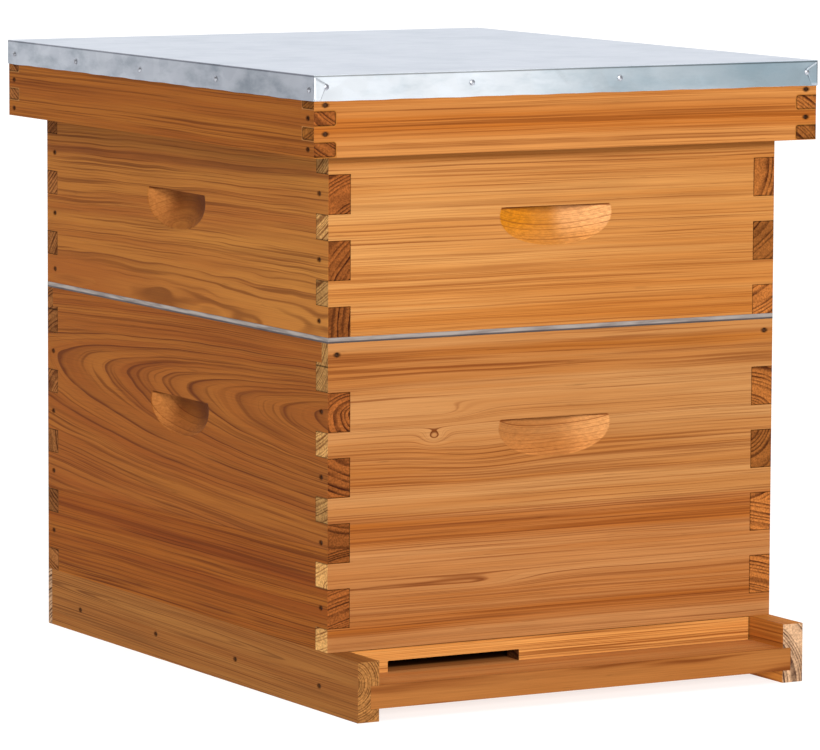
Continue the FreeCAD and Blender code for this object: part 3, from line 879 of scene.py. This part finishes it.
def dress_frames():
    """Ten frames in each box."""
    middle = Vector((0, 0, 0))
    along_bars = Plank((-300, -260), ring=2.8, waves=1.0, seed=61, contrast=0.5, streaks=0.6)
    up_bars = Plank((-320, -240), ring=2.6, waves=1.0, seed=64, contrast=0.5, streaks=0.6)
    bars = wood("frame_bar_wood", middle, (Y, Z, X), [along_bars], PALE_WOOD)
    ends = wood("frame_end_wood", middle, (Z, Y, X), [up_bars], PALE_WOOD)
    comb = wax()
    for kind in ("brood", "super"):
        for index in range(1, 11):
            frame_slots("%s_frame_%02d" % (kind, index), bars, ends, comb)


# Metal

# The sizes of zinc's crystals, of a hand's smudges on the flange, and of the patches where the painted
# reflection dulls, in millimetres
SPANGLE = 14.0
ZINC_GRAIN = (1.2, 1.2, 1.2)
CRYSTAL_BENDS = (9, 9, 9)
SMUDGES = (60, 60, 22)
REFLECTION_PATCHES = (110, 110, 60)


def galvanised(top):
    """Zinc-coated sheet: soft crystal spangle, smudges that gather on the flange, a painted reflection
    that dulls the flanges towards the right, painted shade on the side flanges, and a painted shadow
    line in the crease just below its top."""
    material, tree, shader = new_material("galvanised_sheet")
    bright, pale, dull = colour(243, 249, 255), colour(220, 228, 238), colour(130, 153, 165)
    place = tree.place()
    x, y, z = tree.separate(place)
    facing = tree.separate(tree.normal())
    sideways, upward = tree.positive(facing[0]), tree.positive(facing[2])
    flange = tree.minus(1.0, upward)

    cells = tree.add("ShaderNodeTexVoronoi", feature="F1")
    bend = tree.times(tree.noise(place, CRYSTAL_BENDS), 8.0)
    tree.feed(cells.inputs["Vector"], tree.vector("ADD", place, tree.combine(bend, 0.0, 0.0)))
    cells.inputs["Scale"].default_value = 1 / SPANGLE
    crystal = tree.separate(cells.outputs["Color"])[0]
    smudge = tree.remap(tree.noise(place, SMUDGES, detail=4.0, roughness=0.6), 0.42, 0.72)
    # Painted reflection: the flanges are bright towards the left and dull towards the right, with a
    # patchy edge
    patchy = tree.minus(tree.noise(place, REFLECTION_PATCHES), 0.5)
    dulled_reflection = tree.times(tree.remap(tree.plus(x, patchy, 300.0), -160.0, 200.0), flange)
    base = tree.mix(tree.times(crystal, 0.22), bright, pale)
    base = tree.mix(tree.times(smudge, tree.remap(flange, 0.0, 1.0, 0.10, 0.45)), base, dull)
    base = tree.mix(tree.times(dulled_reflection, 0.8), base, dull)

    # Painted shade: the side flanges are darker than the front one, most towards their front ends.
    # The top is a little darker, and the top and sides a little bluer
    side_flange_shade = tree.remap(y, -220.0, 260.0, 0.53, 0.41)
    light = tree.minus(1.0, tree.times(sideways, side_flange_shade))
    light = tree.plus(light, upward, -0.30)
    # Painted shadow: a dark line in the crease just below the top
    depth = tree.minus(top, z)
    crease = tree.times(tree.remap(depth, 0.3, 0.7), tree.remap(depth, 1.1, 1.9, 1.0, 0.0))
    light = tree.times(light, tree.plus(1.0, crease, -0.60))
    blue = tree.plus(light, tree.math("MAXIMUM", sideways, upward), 0.03)
    light = tree.add("ShaderNodeCombineColor", light, light, blue).outputs[0]
    base = tree.mix(1.0, base, light, blend="MULTIPLY")

    metal = tree.remap(upward, 0.3, 0.9, 0.92, 0.02)
    rough = tree.plus(tree.plus(0.34, crystal, 0.10), upward, 0.38)
    rough = tree.plus(rough, smudge, 0.12)
    relief = tree.plus(crystal, tree.noise(place, ZINC_GRAIN), 0.4)
    set_surface(tree, shader, base, rough, relief, 0.12, 0.1 * MM, metal, specular=0.0)
    return material


def plain_steel(name, light, dark, rough, grain=2.5):
    """Bare steel, worn in spots as large as its grain."""
    material, tree, shader = new_material(name)
    worn = tree.remap(tree.noise(tree.place(), (grain, grain, grain), detail=3.0), 0.35, 0.7)
    base = tree.mix(worn, colour(*light), colour(*dark))
    set_surface(tree, shader, base, tree.plus(rough, worn, 0.2), worn, 0.15, 0.1 * MM, metal=0.95)
    return material


def folded_edge(low, high):
    """The excluder's edging, between two heights: a pale upper lip with a thin painted shadow line along
    its top, over painted shade on the fold.
    """
    material, tree, shader = new_material("excluder_edge_steel")
    place = tree.place()
    thick = high - low
    height = tree.minus(tree.separate(place)[2], low)
    worn = tree.noise(place, (30, 30, 3), detail=3.0)
    base = tree.mix(tree.remap(worn, 0.35, 0.7), colour(170, 159, 152), colour(136, 125, 120))
    # Painted shade over the lower part, where the fold is, and a thin painted shadow line along the top
    fold = tree.remap(height, 0.20 * thick, 0.42 * thick, 0.85, 0.0)
    lip = tree.remap(height, 0.90 * thick, 0.98 * thick, 0.0, 0.55)
    base = tree.mix(tree.math("MAXIMUM", fold, lip), base, colour(58, 48, 52))
    rough = tree.remap(worn, 0.3, 0.7, 0.40, 0.55)
    set_surface(tree, shader, base, rough, worn, 0.15, 0.1 * MM, metal=0.75)
    return material


def dress_metals():
    """Nails, screws, the excluder and the cover's sheet."""
    nail = plain_steel("nail_steel", (92, 60, 40), (48, 28, 18), rough=0.55)
    for node in ("bottom_board_nails", "brood_box_nails", "super_nails", "inner_cover_nails",
                 "cover_rim_nails", "cover_deck_nails"):
        dress(node, nail)
    dress("cover_sheet_screws", plain_steel("screw_steel", (200, 204, 212), (140, 140, 148), rough=0.3))
    dress("excluder_grille", plain_steel("excluder_steel", (150, 146, 152), (128, 124, 132), rough=0.66,
                                         grain=14.0))
    low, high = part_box("excluder_rim")
    dress("excluder_rim", folded_edge(low.z / MM, high.z / MM))
    low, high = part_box("cover_sheet")
    sheet = galvanised(high.z / MM)
    dress("cover_sheet", sheet)
    cover_sheet(low, high, sheet)
    for side_x in (-1, 1):
        for side_y in (-1, 1):
            corner_flap(side_x, side_y, low, high, sheet)


# The cover's sheet is folded by hand, so its flange bulges and its screws dent it
SHEET_THICKNESS = 0.5 * MM
NET_STEP = 5 * MM
FLANGE_ROWS = 8
TOP_DIP = 0.10 * MM
FLANGE_BULGE = 0.28 * MM
FLANGE_RAGGED = 0.25 * MM
SCREW_DENT = 0.40 * MM
DENT_RADIUS = 7 * MM
NEAR = 0.01 * MM


def spread(start, end, count):
    """Even steps from start to end."""
    return [start + (end - start) * index / count for index in range(count + 1)]


def net(mesh, points):
    """Join rows of points with four-cornered faces."""
    lattice = [[mesh.verts.new(point) for point in row] for row in points]
    for first, second in zip(lattice, lattice[1:]):
        for corners in zip(first, first[1:], second[1:], second):
            mesh.faces.new(corners)


def buckle(vert, low, high):
    """Let the top dip a little in soft waves, away from its edges."""
    x, y, z = vert.co
    waves = math.sin(x / 0.061 + 1.3) * math.sin(y / 0.083 + 0.4) * math.sin((x + y) / 0.19)
    inset = min(x - low.x, high.x - x, y - low.y, high.y - y)
    vert.co.z -= TOP_DIP * (1 + waves) * min(1.0, inset / 0.03)


def bulge(vert, low, high, screws):
    """Push the flange out in uneven waves, more towards its foot, and in at each screw."""
    x, y, z = vert.co
    fall = (high.z - z) / (high.z - low.z)
    for axis, run in ((0, y), (1, x)):
        for side, edge in ((-1, low[axis]), (1, high[axis])):
            if abs(vert.co[axis] - edge) > NEAR:
                continue
            waves = math.sin(run / 0.037 + axis) + 0.6 * math.sin(run / 0.0131 + 2 * axis + side)
            waves *= min(1.0, min(run - low[1 - axis], high[1 - axis] - run) / 0.02)
            push = FLANGE_BULGE * fall * (0.6 + 0.5 * waves)
            for screw_low, screw_high in screws:
                outer = (screw_low if side < 0 else screw_high)[axis]
                if abs(outer - edge) < 2 * MM:
                    middle = (screw_low + screw_high) / 2
                    gap = math.hypot(run - middle[1 - axis], z - middle.z) / DENT_RADIUS
                    push -= SCREW_DENT * math.exp(-gap * gap)
            vert.co[axis] += side * push
    if fall > 0.999:
        vert.co.z += FLANGE_RAGGED * (1 + math.sin((x - y) / 0.021) * math.sin((x + y) / 0.008))


def metal_piece(name, mesh, material):
    """A piece of the cover's sheet metal, as thick as the sheet."""
    data = bpy.data.meshes.new(name)
    mesh.to_mesh(data)
    mesh.free()
    data.polygons.foreach_set("use_smooth", [True] * len(data.polygons))
    data.materials.append(material)
    item = new_object(name, data)
    modify(item, "thickness", "SOLIDIFY", thickness=SHEET_THICKNESS, offset=-1)
    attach(item, "telescoping_cover")
    return item


def cover_sheet(low, high, material):
    """The galvanised sheet: a slightly buckled top, a hand-folded flange and dents at its screws."""
    across = spread(low.x, high.x, round((high.x - low.x) / NET_STEP))
    along = spread(low.y, high.y, round((high.y - low.y) / NET_STEP))
    levels = spread(high.z, low.z, FLANGE_ROWS)
    mesh = bmesh.new()
    net(mesh, [[Vector((x, y, high.z)) for x in across] for y in along])
    net(mesh, [[Vector((x, low.y, z)) for x in across] for z in levels])
    net(mesh, [[Vector((x, high.y, z)) for x in reversed(across)] for z in levels])
    net(mesh, [[Vector((low.x, y, z)) for y in reversed(along)] for z in levels])
    net(mesh, [[Vector((high.x, y, z)) for y in along] for z in levels])
    bmesh.ops.remove_doubles(mesh, verts=mesh.verts, dist=NEAR)
    bmesh.ops.recalc_face_normals(mesh, faces=mesh.faces)
    screws = piece_boxes("cover_sheet_screws")
    for vert in mesh.verts:
        if high.z - vert.co.z < NEAR:
            buckle(vert, low, high)
        else:
            bulge(vert, low, high, screws)

    item = metal_piece("folded_sheet", mesh, material)
    modify(item, "fold", "BEVEL", width=0.8 * MM, segments=3, angle_limit=math.radians(40))
    modify(item, "normals", "WEIGHTED_NORMAL", keep_sharp=True)
    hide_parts("cover_sheet")


def corner_flap(side_x, side_y, low, high, material):
    """The end of a side flange, folded round the corner and screwed over the front or rear flange."""
    corner_x = low.x if side_x < 0 else high.x
    corner_y = low.y if side_y < 0 else high.y
    # How far in from the corner, and how high: at the fold's top, the tip, the toe and the fold's foot
    top, tip = Vector((0, high.z - 0.6 * MM)), Vector((11.5 * MM, high.z - 7.0 * MM))
    toe, foot = Vector((6.0 * MM, low.z + 1.0 * MM)), Vector((0, low.z + 0.4 * MM))
    steps = spread(0.0, 1.0, 8)
    points = []
    for down in steps:
        row = []
        for inwards in steps:
            place = top.lerp(tip, inwards).lerp(foot.lerp(toe, inwards), down)
            crease = 0.12 * math.sin(place.x / (1.3 * MM)) * down
            proud = (0.42 + crease) * MM * min(1.0, inwards * 6 + 0.3)
            row.append((corner_x - side_x * place.x, corner_y + side_y * proud, place.y))
        points.append(row)
    mesh = bmesh.new()
    net(mesh, points)
    bmesh.ops.recalc_face_normals(mesh, faces=mesh.faces)
    if sum(face.normal.y for face in mesh.faces) * side_y < 0:
        bmesh.ops.reverse_faces(mesh, faces=mesh.faces)
    name = "corner_flap_%s_%s" % ("left" if side_x < 0 else "right", "front" if side_y < 0 else "rear")
    metal_piece(name, mesh, material)


# Stage

FLOOR_REACH = 30.0
FLOOR_MOTTLE = (1000, 1000, 1000)
# The directions to the bright backdrop and to the key light, which is low and to the front left
BACKDROP = (0.48, 0.86, 0.15)
KEY = (-0.33, -0.90, 0.28)
# The lens, and where it stands and looks: in front of the hive, to its left and above it
FOCAL_LENGTH = 241.89
SENSOR_WIDTH = 36.0
EYE = (-2.24586, -3.99342, 0.76514)
YAW, PITCH, ROLL = 0.51265, -0.1158, 0.00402


def white_floor():
    """A pale floor, bright enough to leave only a soft shadow."""
    corners = [(x * FLOOR_REACH, y * FLOOR_REACH, 0) for x, y in ((-1, -1), (1, -1), (1, 1), (-1, 1))]
    mesh = bpy.data.meshes.new("floor")
    mesh.from_pydata(corners, [], [(0, 1, 2, 3)])
    floor = new_object("floor", mesh)
    material, tree, shader = new_material("floor_white")
    mottle = tree.noise(tree.place(), FLOOR_MOTTLE)
    base = tree.grey(tree.remap(mottle, 0.3, 0.7, 0.36, 0.38))
    tree.fill(shader, {"Base Color": base, "Roughness": 0.9, "Specular IOR Level": 0.0,
                       "Emission Color": (1, 1, 1, 1), "Emission Strength": 0.74})
    mesh.materials.append(material)


def studio():
    """A bright surround, brightest behind the hive and overhead, and one broad soft light."""
    world = bpy.data.worlds.new("studio")
    world.use_nodes = True
    bpy.context.scene.world = world
    tree = Tree(world.node_tree)
    direction = tree.add("ShaderNodeTexCoord").outputs["Generated"]
    behind = tree.remap(tree.vector("DOT_PRODUCT", direction, BACKDROP), 0.2, 0.85, 0.22, 1.0)
    overhead = tree.remap(tree.separate(direction)[2], 0.45, 0.85, 0.0, 1.25)
    glow = tree.math("MAXIMUM", behind, overhead)
    seen = tree.add("ShaderNodeLightPath").outputs["Is Camera Ray"]
    tree.fill(world.node_tree.nodes["Background"],
              {"Color": (1, 1, 1, 1), "Strength": tree.mix_value(seen, glow, 1.05)})

    lamp = bpy.data.lights.new("key", "SUN")
    lamp.energy = 3.2
    lamp.angle = math.radians(14)
    lamp.color = (1.0, 0.985, 0.96)
    new_object("key", lamp).rotation_euler = Vector(KEY).to_track_quat("Z", "Y").to_euler()


def camera():
    """A long lens, turned to the right by its yaw, down by its pitch and over by its roll."""
    ahead = Vector((math.sin(YAW) * math.cos(PITCH), math.cos(YAW) * math.cos(PITCH), math.sin(PITCH)))
    level = Vector((math.cos(YAW), -math.sin(YAW), 0))
    upright = level.cross(ahead)
    across = level * math.cos(ROLL) + upright * math.sin(ROLL)
    up = upright * math.cos(ROLL) - level * math.sin(ROLL)
    lens = bpy.data.cameras.new("camera")
    lens.sensor_width = SENSOR_WIDTH
    lens.lens = FOCAL_LENGTH
    lens.clip_end = 100.0
    item = new_object("camera", lens)
    turn = Matrix((across, up, -ahead)).transposed().to_4x4()
    item.matrix_world = Matrix.Translation(EYE) @ turn
    bpy.context.scene.camera = item


bpy.context.scene.view_settings.view_transform = "Standard"
camera()
white_floor()
studio()
dress_boxes()
dress_bottom_board()
dress_inner_parts()
dress_frames()
dress_metals()
